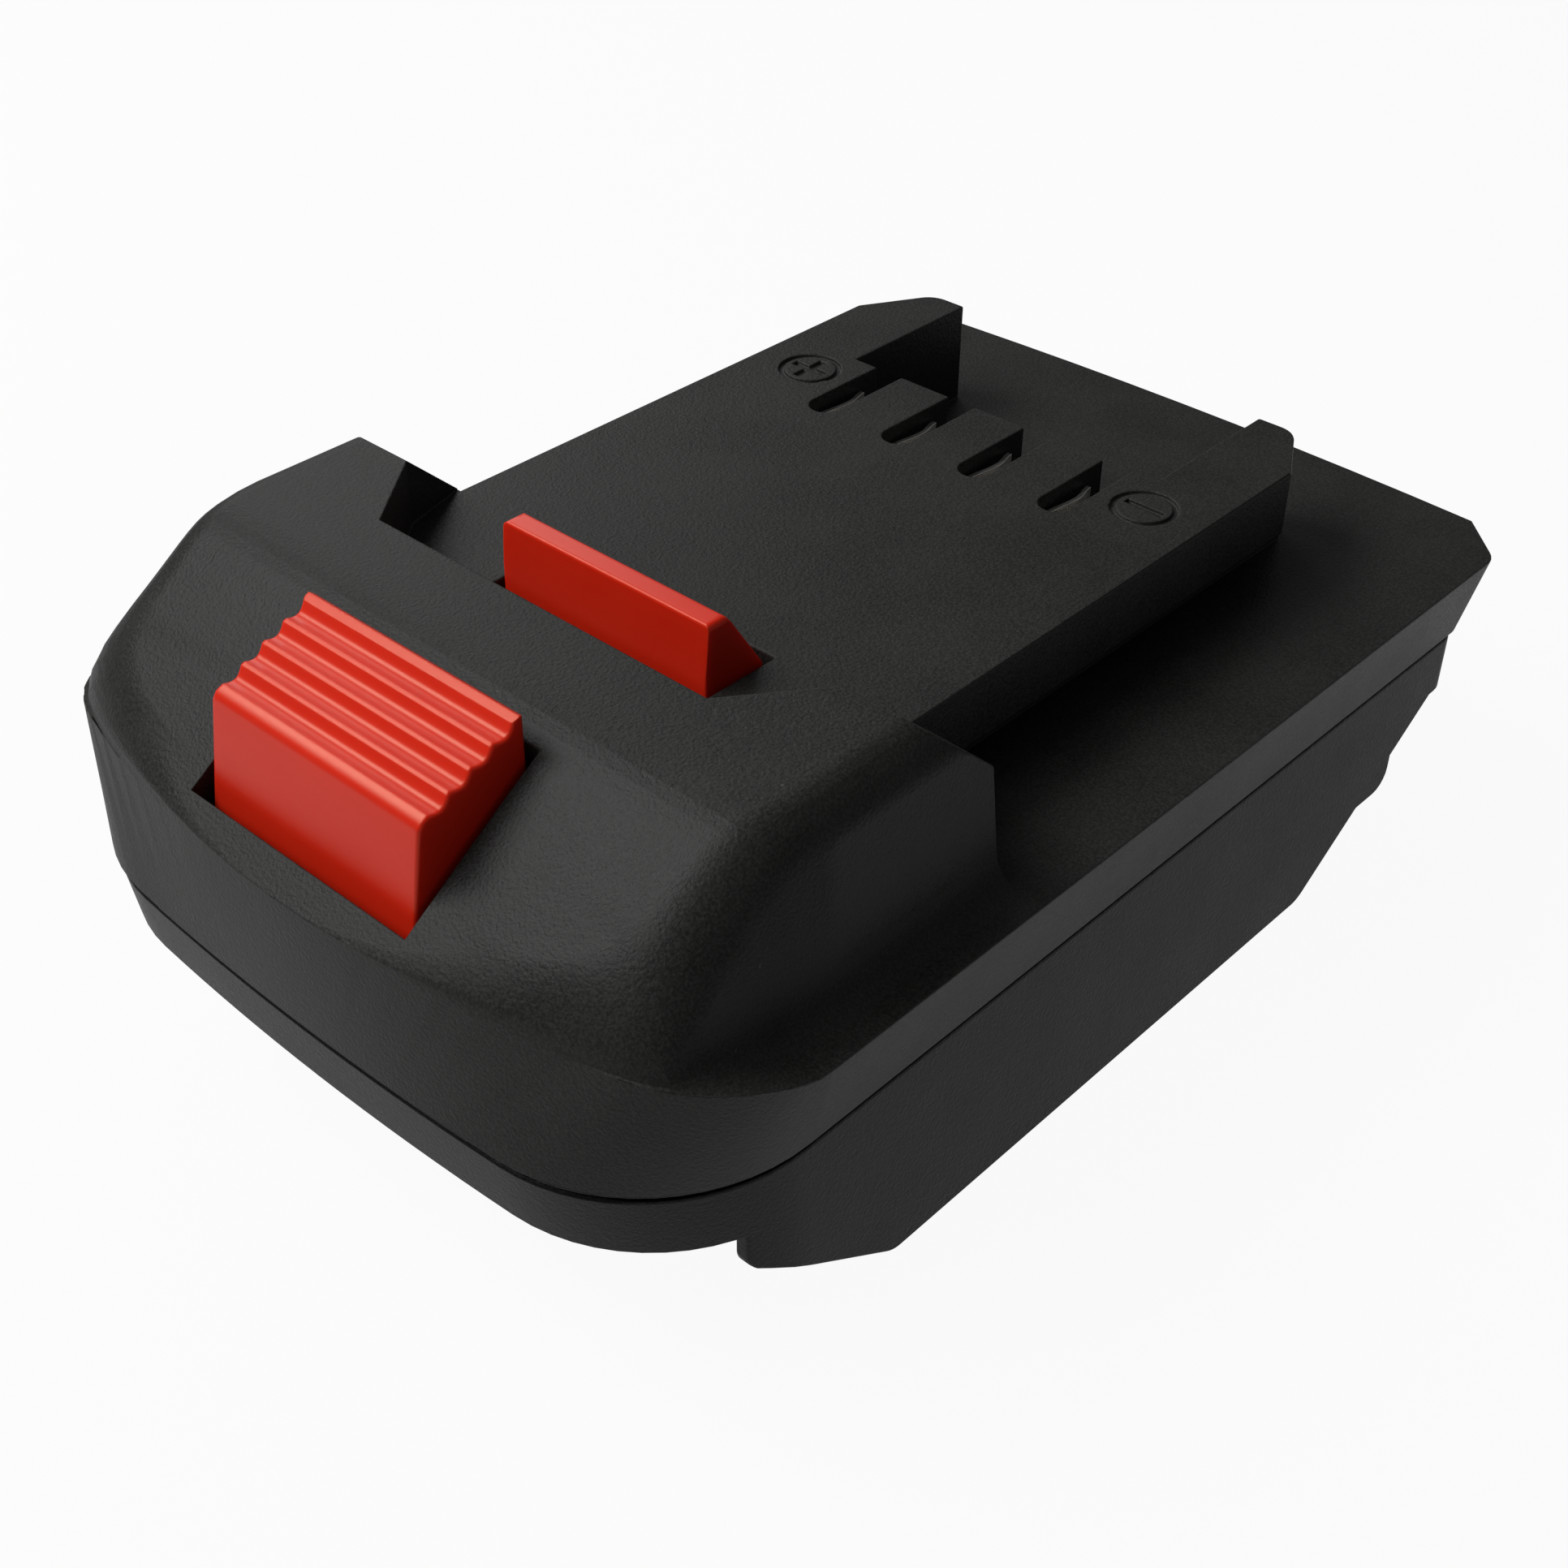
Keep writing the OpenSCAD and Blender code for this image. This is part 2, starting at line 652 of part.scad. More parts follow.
module skirt_profile() {
    y0 = front_y + skirt_front;
    y1 = y0 + skirt_front_bevel;
    y3 = rear_y - skirt_back;
    y2 = y3 - skirt_rear_bevel;
    polygon(rounded([[y0, roof_z + 1, 0], [y0, skirt_corner_z, 1.6], [y1, 0, 3], [y2, 0, 3],
                     [y3, skirt_rear_z, 0], [y3, roof_z + 1.5, 0]]));
}

module pack_rails() {
    inner = low_half - parting_step - skirt_t;
    y0 = front_y + skirt_front + skirt_front_bevel;
    y1 = rear_y - rail_back;
    for (m = [0, 1])
        mirror([m, 0, 0])
            translate([inner - rail_w, 0, 0])
                rotate([90, 0, 90])
                    linear_extrude(rail_w + eps)
                        polygon(rounded([[y0, rail_z, 1], [y1, rail_z, 2.2], [y1, roof_z + 1, 0],
                                         [y1 - stop_l, roof_z + 1, 0], [y1 - stop_l, rail_z + rail_t, 1],
                                         [y0, rail_z + rail_t, 1]]));
}

module skirts() {
    inner = low_half - parting_step - skirt_t;
    difference() {
        intersection() {
            linear_extrude(roof_z + 1)
                polygon(inset_outline(parting_step, front_lean));
            across(body_w)
                skirt_profile();
        }
        block([-inner, inner], [front_y, rear_y], [-eps, roof_z + 2]);
    }
}

module lower_shell() {
    difference() {
        ruled(inset_outline(parting_step, front_lean), lip_z, inset_outline(parting_step), parting_z - seam);
        translate([0, 0, roof_top])
            linear_extrude(parting_z)
                polygon(inset_outline(parting_step + wall));
        translate([0, 0, lip_z - eps])
            linear_extrude(roof_z - lip_z + eps)
                polygon(inset_outline(parting_step + wall));
    }
    translate([0, 0, roof_top - eps])
        linear_extrude(parting_z - roof_top + eps)
            difference() {
                polygon(inset_outline(parting_step + 1));
                polygon(inset_outline(wall + 1.3));
            }
    translate([0, 0, roof_top - eps])
        linear_extrude(parting_z + tongue_h - roof_top + eps)
            difference() {
                polygon(inset_outline(wall + fit_gap + 0.05));
                polygon(inset_outline(wall + 1.3));
            }
}

module catch_box(grow, low, high) {
    block([-catch_w / 2 - grow, catch_w / 2 + grow],
          [low_front_y + wall + 2 - grow, low_front_y + wall + 2 + catch_l + grow], [low, high]);
}

module lower_bosses() {
    for (p = screw_places)
        translate([p.x, p.y, roof_z])
            cylinder(h = parting_z - roof_z, d = screw_head_d + 3);
    for (s = [-1, 1])
        translate([s * spring_x, spring_y, roof_z + 1])
            cylinder(h = roof_t + 6, d = post_d);
    catch_box(1.4, roof_z, roof_z + catch_d + 1.6);
}

module lower_housing() {
    color(housing_black)
        difference() {
            union() {
                lower_shell();
                skirts();
                pack_rails();
                lower_bosses();
            }
            catch_box(0, roof_z - 2, roof_z + catch_d);
            block([-block_w / 2 - fit_gap, block_w / 2 + fit_gap],
                  [block_y - fit_gap, block_y + block_l + fit_gap], [roof_z - 1, roof_top + 1]);
            for (p = screw_places)
                translate([p.x, p.y, 0]) {
                    translate([0, 0, roof_z - eps])
                        cylinder(h = screw_seat_z - roof_z + eps, d = screw_head_d + 0.5);
                    translate([0, 0, roof_z])
                        cylinder(h = parting_z, d = screw_d + 0.4);
                }
            for (s = [-1, 1])
                translate([s * ear_x, ear_y, 0]) {
                    translate([0, 0, roof_z - eps])
                        cylinder(h = small_seat_d + eps, d = small_head_d + 0.4);
                    translate([0, 0, roof_z])
                        cylinder(h = roof_t + 1, d = small_screw_d + 0.3);
                }
        }
}

module button_body() {
    intersection() {
        across(button_w)
            polygon(concat(
                [[button_rear_y, latch_foot_z], [button_front_y, latch_foot_z],
                 [button_front_y, flange_z + 3.3],
                 button_brow - [0, 0.4], button_brow + 0.4 * unit(button_fall)],
                grooved_top(groove_count),
                [button_crest - 0.4 * unit(button_fall), button_crest - [0, 0.4]]
            ));
        linear_extrude(hump_z + button_rear_h)
            polygon(rounded([[-button_w / 2, button_front_y - 1, 0], [button_w / 2, button_front_y - 1, 0],
                             [button_w / 2, button_rear_y, 0.4], [-button_w / 2, button_rear_y, 0.4]]));
    }
}

module release_latch() {
    hollow_half = button_w / 2 - latch_wall;
    plate_half = bar_w / 2 - 0.5;
    color(latch_red) {
        difference() {
            button_body();
            across(2 * hollow_half)
                polygon([[button_rear_y - latch_wall, latch_foot_z - 1],
                         [button_front_y + latch_wall, latch_foot_z - 1],
                         [button_front_y + latch_wall, flange_z + 3.3],
                         button_brow + [latch_wall, -latch_wall - scallop],
                         button_crest + [-latch_wall, -latch_wall - scallop]]);
        }
        block([-plate_half, plate_half], [button_rear_y - eps, bar_rear_y], [bridge_z, bridge_top]);
        intersection() {
            across(bar_w)
                polygon(rounded([[bar_front_y, bridge_z, 0], [bar_rear_y, bridge_z, 0],
                                 [bar_rear_y, platform_z - 0.6, 0],
                                 [bar_front_y + bar_lean + bar_top_l, platform_z + bar_h, 0.4],
                                 [bar_front_y + bar_lean, platform_z + bar_h, 0.3],
                                 [bar_front_y, platform_z, 0]]));
            translate([0, bar_rear_y + 1, 0])
                rotate([90, 0, 0])
                    linear_extrude(bar_l + 3)
                        polygon(rounded([[-bar_w / 2, bridge_z, 0], [bar_w / 2, bridge_z, 0],
                                         [bar_w / 2, platform_z + bar_h, 0.6],
                                         [-bar_w / 2, platform_z + bar_h, 0.6]]));
        }
        for (s = [-1, 1])
            translate([s * spring_x, spring_y, bridge_z - 2.5])
                cylinder(h = 2.5 + eps, d = post_d);
    }
}

module latch_spring(side) {
    color(steel)
        translate([side * spring_x, spring_y, 0])
            loft([for (i = [0:spring_steps])
                ring(spring_path[i], [cos(45 * i), sin(45 * i), 0], [0, 0, 1], spring_wire / 2, 6)]);
}

module latch_spring_left() { latch_spring(-1); }
module latch_spring_right() { latch_spring(1); }

// Half width of the space between a terminal's leaves at the share s of their length
leaf_base = 1.02;
leaf_pinch = 0.62;
leaf_flare = 1.12;
pinch_share = 0.62;
function leaf_x(s) =
    s < pinch_share
    ? leaf_pinch + (leaf_base - leaf_pinch) * (1 + cos(180 * s / pinch_share)) / 2
    : leaf_pinch + (leaf_flare - leaf_pinch) * (1 - cos(180 * (s - pinch_share) / (1 - pinch_share))) / 2;

module fork_plan() {
    bend_y = fork_y + leaf_base + leaf_t / 2;
    leaf_l = finger_y - wall - 0.3 - bend_y;
    shares = [for (i = [0:12]) i / 12];
    for (m = [0, 1])
        mirror([m, 0])
            polygon(concat(
                [for (s = shares) [leaf_x(s) + leaf_t / 2, bend_y + s * leaf_l]],
                [for (i = [12:-1:0]) [leaf_x(shares[i]) - leaf_t / 2, bend_y + shares[i] * leaf_l]]
            ));
    translate([0, bend_y])
        difference() {
            circle(r = leaf_base + leaf_t / 2);
            circle(r = leaf_base - leaf_t / 2);
            translate([-slot_w, 0])
                square([2 * slot_w, slot_w]);
        }
}

module terminal(x) {
    color(contact_metal)
        translate([x, 0, 0]) {
            translate([0, 0, board_top])
                linear_extrude(fork_top - board_top)
                    fork_plan();
            block([-tab_w / 2 - 0.6, tab_w / 2 + 0.6], [fork_y, fork_y + 4], [board_top, board_top + 0.6]);
            block([-tab_w / 2, tab_w / 2], [tab_y, tab_y + tab_t], [tab_z, board_top + 0.3]);
        }
}

module positive_terminal() { terminal(slot_xs[0]); }
module signal_terminal_left() { terminal(slot_xs[1]); }
module signal_terminal_right() { terminal(slot_xs[2]); }
module negative_terminal() { terminal(slot_xs[3]); }

module contact_board() {
    color(board_green)
        difference() {
            block([-board_half, board_half], [board_front_y, board_rear_y], [board_z, board_top]);
            for (x = slot_xs)
                block([x - tab_w / 2 - fit_gap, x + tab_w / 2 + fit_gap],
                      [tab_y - fit_gap, tab_y + tab_t + fit_gap], [board_z - 1, board_top + 1]);
            for (s = [-1, 1])
                translate([s * board_screw_x, board_screw_y, board_z - 1])
                    cylinder(h = board_t + 2, d = small_screw_d + 0.3);
        }
}

// A pan-head screw with its head's seat at the origin and its shank along +Z
module pan_screw(shank_d, head_d, head_h, l) {
    rotate_extrude()
        polygon([[0, -head_h], [head_d * 0.32, -head_h], [head_d / 2, -head_h * 0.45], [head_d / 2, 0],
                 [shank_d / 2, 0], [shank_d / 2, l - shank_d * 0.4], [shank_d * 0.15, l], [0, l]]);
}

module board_screws() {
    color(steel)
        for (s = [-1, 1])
            translate([s * board_screw_x, board_screw_y, board_z])
                pan_screw(small_screw_d, small_head_d, small_head_h, board_t + board_bite);
}

// A signal resistor that bridges the two signal terminals' tracks
module id_resistor() {
    body_d = 2.2;
    lift = body_d / 2 + 0.1;
    wire_r = 0.3;
    bend_r = lift - 0.2;
    run = board_screw_x - 4.75;
    color("#c8a878")
        translate([0, board_screw_y, board_top + lift])
            union() {
                rotate([0, 90, 0])
                    cylinder(h = 2 * run - 1.8, d = body_d, center = true);
                rotate([0, 90, 0])
                    cylinder(h = 2 * run, r = wire_r, center = true);
                for (m = [0, 1])
                    mirror([m, 0, 0])
                        translate([run, 0, -bend_r]) {
                            rotate([90, 0, 0])
                                rotate_extrude(angle = 90)
                                    translate([bend_r, 0])
                                        circle(r = wire_r);
                            translate([bend_r, 0, bend_r - lift])
                                cylinder(h = lift - bend_r, r = wire_r);
                        }
            }
}

module blade_slot(x) {
    g = fit_gap / 2;
    block([x - blade_t / 2 - g, x + blade_t / 2 + g], [block_y - 1, tail_y + tail_l + g],
          [blade_z - g, blade_z + blade_h + g]);
    block([x - blade_t / 2 - g, x + blade_t / 2 + g], [tail_y - g, tail_y + tail_l + g],
          [blade_z, roof_top + flange_t + 1]);
}

module pack_terminal_block() {
    ear_low = roof_top;
    color("#34363a")
        difference() {
            union() {
                block([-block_w / 2, block_w / 2], [block_y, block_y + block_l],
                      [block_z, roof_top + flange_t]);
                block([-ear_x, ear_x], [ear_y - ear_r, ear_y + ear_r], [ear_low, ear_low + flange_t]);
                block([-block_w / 2 - 1.2, block_w / 2 + 1.2], [block_y - 1.2, block_y + block_l + 1.2],
                      [ear_low, ear_low + flange_t]);
                for (s = [-1, 1])
                    translate([s * ear_x, ear_y, ear_low])
                        cylinder(h = flange_t, r = ear_r);
            }
            for (x = blade_xs)
                blade_slot(x);
            for (s = [-1, 1])
                translate([s * ear_x, ear_y, ear_low - 1])
                    cylinder(h = flange_t + 2, d = small_screw_d + fit_gap);
        }
}

module blade(x) {
    nose = 1.4;
    tip_y = block_y - blade_l;
    color(contact_metal)
        translate([x, 0, 0])
            across(blade_t)
                polygon([[tip_y, blade_z + nose], [tip_y + nose, blade_z], [tail_y + tail_l, blade_z],
                         [tail_y + tail_l, tail_top], [tail_y, tail_top], [tail_y, blade_z + blade_h],
                         [tip_y + nose, blade_z + blade_h], [tip_y, blade_z + blade_h - nose]]);
}

module positive_blade() { blade(blade_xs[0]); }
module signal_blade() { blade(blade_xs[1]); }
module negative_blade() { blade(blade_xs[2]); }

module block_screws() {
    color(steel)
        for (s = [-1, 1])
            translate([s * ear_x, ear_y, roof_z + small_seat_d])
                pan_screw(small_screw_d, small_head_d, small_head_h, roof_t - small_seat_d + flange_t + 0.8);
}

// A lead from a terminal's tab to a blade's tail that sags between its ends
module lead(x, d, steps = 16) {
    y0 = tab_y + tab_t;
    run = tail_y - y0;
    fall = function (t) lead_sag * (1 - cos(360 * t)) / 2;
    color(x > 0 ? "#1d1d1f" : x < -slot_pitch ? "#b3231c" : "#d9d4c4")
        loft([for (i = [0:steps])
            let (t = i / steps, slope = -lead_sag * 180 / run * sin(360 * t) * PI / 180, a = atan(slope))
            ring([x, y0 + run * t, lead_z - fall(t)], [1, 0, 0], [0, -sin(a), cos(a)], d / 2, 10)]);
}

module positive_lead() { lead(blade_xs[0], power_lead_d); }
module signal_lead() { lead(blade_xs[1], signal_lead_d); }
module negative_lead() { lead(blade_xs[2], power_lead_d); }

module housing_screws() {
    color(steel)
        for (p = screw_places)
            translate([p.x, p.y, screw_seat_z])
                pan_screw(screw_d, screw_head_d, screw_head_h, screw_tip_z - screw_seat_z);
}

upper_housing();
lower_housing();
release_latch();
latch_spring_left();
latch_spring_right();
positive_terminal();
signal_terminal_left();
signal_terminal_right();
negative_terminal();
contact_board();
board_screws();
id_resistor();
pack_terminal_block();
positive_blade();
signal_blade();
negative_blade();
block_screws();
positive_lead();
signal_lead();
negative_lead();
housing_screws();
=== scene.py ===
import json
import math

import bmesh
import bpy
from mathutils import Matrix, Vector
from mathutils.geometry import intersect_point_line


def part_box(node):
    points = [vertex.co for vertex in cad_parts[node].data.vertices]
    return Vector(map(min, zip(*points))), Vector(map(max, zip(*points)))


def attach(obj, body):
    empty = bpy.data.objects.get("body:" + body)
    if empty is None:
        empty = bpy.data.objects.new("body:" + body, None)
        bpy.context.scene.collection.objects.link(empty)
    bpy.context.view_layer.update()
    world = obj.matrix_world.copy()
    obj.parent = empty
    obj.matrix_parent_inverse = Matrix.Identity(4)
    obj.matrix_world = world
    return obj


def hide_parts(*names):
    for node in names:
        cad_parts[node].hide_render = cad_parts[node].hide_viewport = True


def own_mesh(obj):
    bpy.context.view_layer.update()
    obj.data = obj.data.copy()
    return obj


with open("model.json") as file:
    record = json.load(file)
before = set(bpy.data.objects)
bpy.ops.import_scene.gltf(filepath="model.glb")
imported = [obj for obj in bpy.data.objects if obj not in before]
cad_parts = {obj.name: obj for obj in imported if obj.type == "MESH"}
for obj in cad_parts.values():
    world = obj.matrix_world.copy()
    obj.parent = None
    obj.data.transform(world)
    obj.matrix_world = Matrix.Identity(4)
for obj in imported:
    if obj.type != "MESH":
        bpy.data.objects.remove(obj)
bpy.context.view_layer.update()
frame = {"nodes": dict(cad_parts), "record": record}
nodes = frame["nodes"]
scene = bpy.context.scene

MM = 0.001
UP = (0, 0, 1)
FULL_TURN = 2 * math.pi
STAND_UP = Matrix.Rotation(math.pi / 2, 4, "X")

# Corners closer than JOIN are one corner, and a boolean's faces narrower than SLIVER are dropped
JOIN = 0.003 * MM
SLIVER = 0.004 * MM
# Faces that meet at less than FLAT are one face. Edges above CREASE are sharp, and outer ones above ROUND
# are rounded
FLAT = math.radians(0.05)
CREASE = math.radians(32)
ROUND = math.radians(50)

# The shading of curved faces looks this far round a corner, over faces whose normals agree this well
SHADE_REACH = 1.8 * MM
SHADE_AGREE = 0.88
# Faces larger than this are shaded flat
FLAT_AREA = 25 * MM * MM

# The upper shell ends at the seam, and the lower shell's rim lies a little below it
SEAM_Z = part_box("upper_housing")[0].z
RIM_Z = SEAM_Z - 0.5 * MM
SEAM_WIDTH = 0.3 * MM
SEAM_SHORTEST = 0.1 * MM
# Distances from the middle of the seam at which its painted shade begins to fade and has gone
SEAM_SHADE_FULL = 0.52 * MM
SEAM_SHADE_GONE = 0.64 * MM


class Value:
    """A shader value. Arithmetic on it adds Math nodes to its paint."""

    def __init__(self, owner, link):
        self.owner = owner
        self.link = link

    def math(self, operation, first, second):
        return self.owner.node("ShaderNodeMath", {"operation": operation}, {0: first, 1: second})

    def __add__(self, other):
        return self.math("ADD", self, other)

    __radd__ = __add__

    def __sub__(self, other):
        return self.math("SUBTRACT", self, other)

    def __rsub__(self, other):
        return self.math("SUBTRACT", other, self)

    def __mul__(self, other):
        return self.math("MULTIPLY", self, other)

    __rmul__ = __mul__

    def over(self, low, high):
        """0 below low and 1 above high, with a smooth step between."""
        return self.owner.node("ShaderNodeMapRange", {"interpolation_type": "SMOOTHSTEP"},
                               {"Value": self, "From Min": low, "From Max": high})


class Paint:
    """A node tree with one method that adds any node."""

    def __init__(self, owner):
        owner.use_nodes = True
        self.owner = owner
        self.tree = owner.node_tree
        self.tree.nodes.clear()

    def node(self, kind, settings=None, inputs=None, output=0):
        made = self.tree.nodes.new(kind)
        for key, value in (settings or {}).items():
            setattr(made, key, value)
        for key, value in (inputs or {}).items():
            if isinstance(value, Value):
                self.tree.links.new(value.link, made.inputs[key])
            else:
                made.inputs[key].default_value = value
        return Value(self, made.outputs[output]) if made.outputs else None

    def place(self):
        return self.node("ShaderNodeTexCoord", output="Object")

    def noise(self, size_mm, detail, roughness=0.5):
        """Noise whose features are about size_mm across, from 0 to 1."""
        return self.node("ShaderNodeTexNoise", {}, {
            "Vector": self.place(), "Scale": 1 / (size_mm * MM), "Detail": detail, "Roughness": roughness})

    def grains(self, size_mm):
        return self.node("ShaderNodeTexVoronoi", {"feature": "SMOOTH_F1"},
                         {"Vector": self.place(), "Scale": 1 / (size_mm * MM), "Smoothness": 0.6})

    def mix(self, factor, first, second):
        """A colour between two colours."""
        return self.node("ShaderNodeMix", {"data_type": "RGBA"}, {0: factor, 6: first, 7: second}, 2)

    def soft_edge(self, radius_mm):
        return self.node("ShaderNodeBevel", {"samples": 6}, {"Radius": radius_mm * MM})

    def bump(self, height, strength, depth_mm, normal):
        return self.node("ShaderNodeBump", {}, {
            "Height": height, "Strength": strength, "Distance": depth_mm * MM, "Normal": normal})

    def edge_mask(self, normal):
        """Rises from 0 on flat faces to 1 along edges that the soft normal rounds."""
        flat = self.node("ShaderNodeNewGeometry", output="Normal")
        same = self.node("ShaderNodeVectorMath", {"operation": "DOT_PRODUCT"}, {0: normal, 1: flat}, "Value")
        return (1 - same).over(0.004, 0.12)

    def ray_is(self, kind):
        return self.node("ShaderNodeLightPath", output="Is %s Ray" % kind)

    def in_view(self):
        """1 for what the camera sees, straight or through something clear."""
        return self.ray_is("Camera") + self.ray_is("Transmission")

    def surface(self, **sockets):
        named = {key.replace("_", " "): value for key, value in sockets.items()}
        shader = self.node("ShaderNodeBsdfPrincipled", {}, named)
        self.node("ShaderNodeOutputMaterial", {}, {"Surface": shader})
        return self.owner


def new_paint(name):
    return Paint(bpy.data.materials.new(name))


def colour(r, g, b):
    return (r, g, b, 1.0)


def shaded(tint, share):
    """A darker colour."""
    return colour(*(c * share for c in tint[:3]))


def moulded_black(name, dark, light, rough):
    """Black moulding with a fine eroded grain, dull patches, pale edges that are partly wear and partly
    painted highlight, and painted shade in the seam.
    """
    p = new_paint(name)
    grain = p.noise(0.22, detail=2, roughness=0.6)
    pits = p.grains(0.34)
    cloud = p.noise(9, detail=4)
    edge = p.soft_edge(0.22)
    # Paler edges, partly wear and partly a painted highlight where the edges catch the light
    wear_and_edge_highlight = p.edge_mask(edge) * p.noise(1.8, detail=3).over(0.25, 0.6)
    speck = p.noise(0.55, detail=1).over(0.79, 0.84) * p.noise(14, detail=2).over(0.5, 0.62)
    tone = p.mix(grain.over(0.3, 0.75) * 0.75 + cloud.over(0.3, 0.7) * 0.25, dark, light)
    worn_and_highlit = p.mix(wear_and_edge_highlight * 0.5, tone, colour(0.065, 0.065, 0.062))
    dusty = p.mix(speck * 0.5, worn_and_highlit, colour(0.12, 0.12, 0.12))
    # Painted shade: the base colour goes nearly black in a band round the seam, where a groove would lie in
    # shade
    off_seam = p.node("ShaderNodeSeparateXYZ", {}, {"Vector": p.place()}, "Z") - (SEAM_Z + RIM_Z) / 2
    painted_seam_shade = 1 - (off_seam * off_seam).over(SEAM_SHADE_FULL ** 2, SEAM_SHADE_GONE ** 2)
    return p.surface(
        Base_Color=p.mix(painted_seam_shade * 0.95, dusty, colour(0.0008, 0.0008, 0.0008)),
        Roughness=rough + (cloud - 0.5) * 0.12 + (grain - 0.5) * 0.35,
        Specular_IOR_Level=0.12,
        Normal=p.bump(grain + pits * 0.5, strength=0.9, depth_mm=0.05, normal=edge),
    )


def glossy_red(name):
    """Bright red moulding, glossy with faint flow marks and a painted highlight along its edges."""
    p = new_paint(name)
    flow = p.noise(9, detail=2)
    fine = p.noise(0.5, detail=2)
    edge = p.soft_edge(0.2)
    tone = p.mix(flow, colour(0.60, 0.016, 0.005), colour(0.67, 0.023, 0.007))
    return p.surface(
        # Paler orange along the edges: a painted highlight
        Base_Color=p.mix(p.edge_mask(edge) * 0.3, tone, colour(0.80, 0.10, 0.03)),
        Roughness=0.3 + (fine - 0.5) * 0.08,
        Specular_IOR_Level=0.36,
        Specular_Tint=colour(1.0, 0.72, 0.5),
        Subsurface_Weight=0.25,
        Subsurface_Radius=(1.0, 0.12, 0.05),
        Subsurface_Scale=2 * MM,
        Normal=p.bump(flow + fine * 0.1, strength=0.06, depth_mm=0.2, normal=edge),
    )


def plated_metal(name, tint, rough, streak_axis):
    """Plated metal with fine streaks along an axis and dull stains."""
    p = new_paint(name)
    stretch = [1.0, 1.0, 1.0]
    stretch[streak_axis] = 0.06
    lined = p.node("ShaderNodeMapping", {}, {"Vector": p.place(), "Scale": stretch})
    brush = p.node("ShaderNodeTexNoise", {}, {"Vector": lined, "Scale": 1 / (0.12 * MM), "Detail": 3.0})
    stain = p.noise(1.8, detail=3)
    return p.surface(
        Base_Color=p.mix(stain.over(0.45, 0.8) * 0.4, tint, shaded(tint, 0.7)),
        Metallic=1.0,
        Roughness=rough + (brush - 0.5) * 0.2,
        Normal=p.bump(brush, strength=0.15, depth_mm=0.01, normal=p.soft_edge(0.08)),
    )


def lacquered(name, tint, rough, share):
    """A smooth coat that darkens in patches to a share of its colour."""
    p = new_paint(name)
    cloud = p.noise(1.5, detail=3)
    return p.surface(
        Base_Color=p.mix(cloud, tint, shaded(tint, share)),
        Roughness=rough + (cloud - 0.5) * 0.12,
        Normal=p.bump(cloud, strength=0.1, depth_mm=0.03, normal=p.soft_edge(0.1)),
    )


FINISH = {
    "housing": moulded_black("housing_black", colour(0.011, 0.011, 0.0104), colour(0.032, 0.032, 0.0304),
                             rough=0.44),
    "latch": glossy_red("latch_red"),
    "steel": plated_metal("zinc_steel", colour(0.55, 0.56, 0.58), rough=0.34, streak_axis=2),
    "contact": plated_metal("nickel_contact", colour(0.88, 0.86, 0.82), rough=0.3, streak_axis=1),
    "board": lacquered("solder_mask", colour(0.02, 0.11, 0.045), rough=0.3, share=0.75),
    "resistor": lacquered("resistor_lacquer", colour(0.55, 0.4, 0.25), rough=0.35, share=0.8),
    "block": moulded_black("block_black", colour(0.012, 0.012, 0.013), colour(0.03, 0.03, 0.031), rough=0.42),
    "red_lead": lacquered("red_insulation", colour(0.45, 0.02, 0.015), rough=0.45, share=0.85),
    "white_lead": lacquered("white_insulation", colour(0.7, 0.68, 0.6), rough=0.45, share=0.9),
    "black_lead": lacquered("black_insulation", colour(0.02, 0.02, 0.02), rough=0.45, share=0.8),
}
SLOT_OF = {s["node"]: s["material_slot"] for s in frame["record"]["subparts"]}


def dress(piece, finish):
    piece.data.materials.clear()
    piece.data.materials.append(finish)


def placed(name, data):
    """A new object in the scene."""
    made = bpy.data.objects.new(name, data)
    scene.collection.objects.link(made)
    return made


def mesh_object(name, shape):
    """A new object with a bmesh's shape, which is used up."""
    mesh = bpy.data.meshes.new(name)
    shape.to_mesh(mesh)
    shape.free()
    return placed(name, mesh)


def finished_piece(name, shape, body, slot, replaced):
    """Makes a bmesh a piece that rides on a body, with its slot's finish, in place of a node."""
    piece = mesh_object(name, shape)
    dress(piece, FINISH[slot])
    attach(piece, body)
    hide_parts(replaced)
    return piece


for node_name, node in nodes.items():
    dress(node, FINISH[SLOT_OF[node_name]])


def joined_copy(node_name):
    """A copy of a node's mesh with its loose triangles joined."""
    shape = bmesh.new()
    shape.from_mesh(nodes[node_name].data)
    bmesh.ops.remove_doubles(shape, verts=shape.verts, dist=JOIN)
    return shape


def put_in_order(shape):
    """Sorts a shape's elements by place, so that every run takes them in the same order."""
    middles = ((shape.verts, lambda v: v.co),
               (shape.edges, lambda e: (e.verts[0].co + e.verts[1].co) / 2),
               (shape.faces, lambda f: f.calc_center_median()))
    for elements, middle in middles:
        order = sorted(elements, key=lambda element: [round(c, 8) for c in middle(element)])
        for index, element in enumerate(order):
            element.index = index
        elements.sort()


def combined(shape, tool, operation):
    """One closed shape made from two, by UNION or DIFFERENCE."""
    blank, cutter = mesh_object("blank", shape), mesh_object("blank", tool)
    boolean = blank.modifiers.new("combined", "BOOLEAN")
    boolean.operation = operation
    boolean.solver = "EXACT"
    boolean.object = cutter
    result = blank.evaluated_get(bpy.context.evaluated_depsgraph_get())
    left = bmesh.new()
    left.from_mesh(result.to_mesh())
    result.to_mesh_clear()
    put_in_order(left)
    for used in (blank, cutter):
        mesh = used.data
        bpy.data.objects.remove(used)
        bpy.data.meshes.remove(mesh)
    return left


